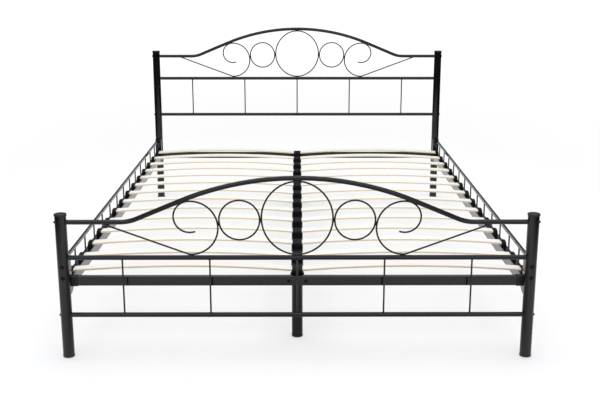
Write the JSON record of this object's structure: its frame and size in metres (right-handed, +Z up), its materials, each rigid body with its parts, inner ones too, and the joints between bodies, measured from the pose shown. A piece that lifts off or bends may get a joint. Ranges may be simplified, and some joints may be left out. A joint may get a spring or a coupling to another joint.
{
  "type": "bed frame",
  "caption": "Metal double bed frame with arched, scrolled head and foot panels, round posts, side guards and two rows of bowed wooden slats on a centre beam with legs.",
  "frame": {"origin": "centre of the bed's footprint on the floor", "axes": "+Z up, +Y from the foot end to the head end, +X to the right for someone looking from the foot end to the head end"},
  "size_m": [1.4834, 2.1192, 0.886],
  "materials": {
    "frame_coat": "semi-gloss black powder coat",
    "slat_plywood": "pale bent plywood, light clear coat",
    "holder_plastic": "black moulded plastic",
    "end_plastic": "black moulded plastic, satin",
    "fastener_steel": "black-coated steel",
    "bare_steel": "bare zinc-plated steel"
  },
  "bodies": {
    "root": {"beam_seats": "frame_coat", "centre_beam": "frame_coat", "centre_leg_foot": "frame_coat", "centre_leg_head": "frame_coat", "centre_leg_middle": "frame_coat", "end_rail_sockets": "end_plastic", "foot_arch_tube": "frame_coat", "foot_end_rail": "frame_coat", "foot_large_ring": "frame_coat", "foot_lower_tube": "frame_coat", "foot_middle_tube": "frame_coat", "foot_post_left": "frame_coat", "foot_post_right": "frame_coat", "foot_scrolls": "frame_coat", "foot_small_rings": "frame_coat", "foot_upright_rods": "frame_coat", "guard_bar_left": "frame_coat", "guard_bar_right": "frame_coat", "guard_rods_left": "frame_coat", "guard_rods_right": "frame_coat", "head_arch_tube": "frame_coat", "head_end_rail": "frame_coat", "head_large_ring": "frame_coat", "head_lower_tube": "frame_coat", "head_middle_tube": "frame_coat", "head_post_left": "frame_coat", "head_post_right": "frame_coat", "head_scrolls": "frame_coat", "head_small_rings": "frame_coat", "head_upright_rods": "frame_coat", "leg_screws": "fastener_steel", "panel_inserts": "bare_steel", "panel_screws": "fastener_steel", "post_caps": "end_plastic", "rail_bolts": "fastener_steel", "rail_end_brackets_left": "frame_coat", "rail_end_brackets_right": "frame_coat", "rail_nuts": "fastener_steel", "seat_bolts": "fastener_steel", "seat_nuts": "fastener_steel", "side_rail_left": "frame_coat", "side_rail_right": "frame_coat", "slat_holders_centre": "holder_plastic", "slat_holders_left": "holder_plastic", "slat_holders_right": "holder_plastic", "slats_row_01": "slat_plywood", "slats_row_02": "slat_plywood", "slats_row_03": "slat_plywood", "slats_row_04": "slat_plywood", "slats_row_05": "slat_plywood", "slats_row_06": "slat_plywood", "slats_row_07": "slat_plywood", "slats_row_08": "slat_plywood", "slats_row_09": "slat_plywood", "slats_row_10": "slat_plywood", "slats_row_11": "slat_plywood", "slats_row_12": "slat_plywood", "slats_row_13": "slat_plywood", "slats_row_14": "slat_plywood", "tube_feet": "end_plastic"}
  },
  "joints": []
}
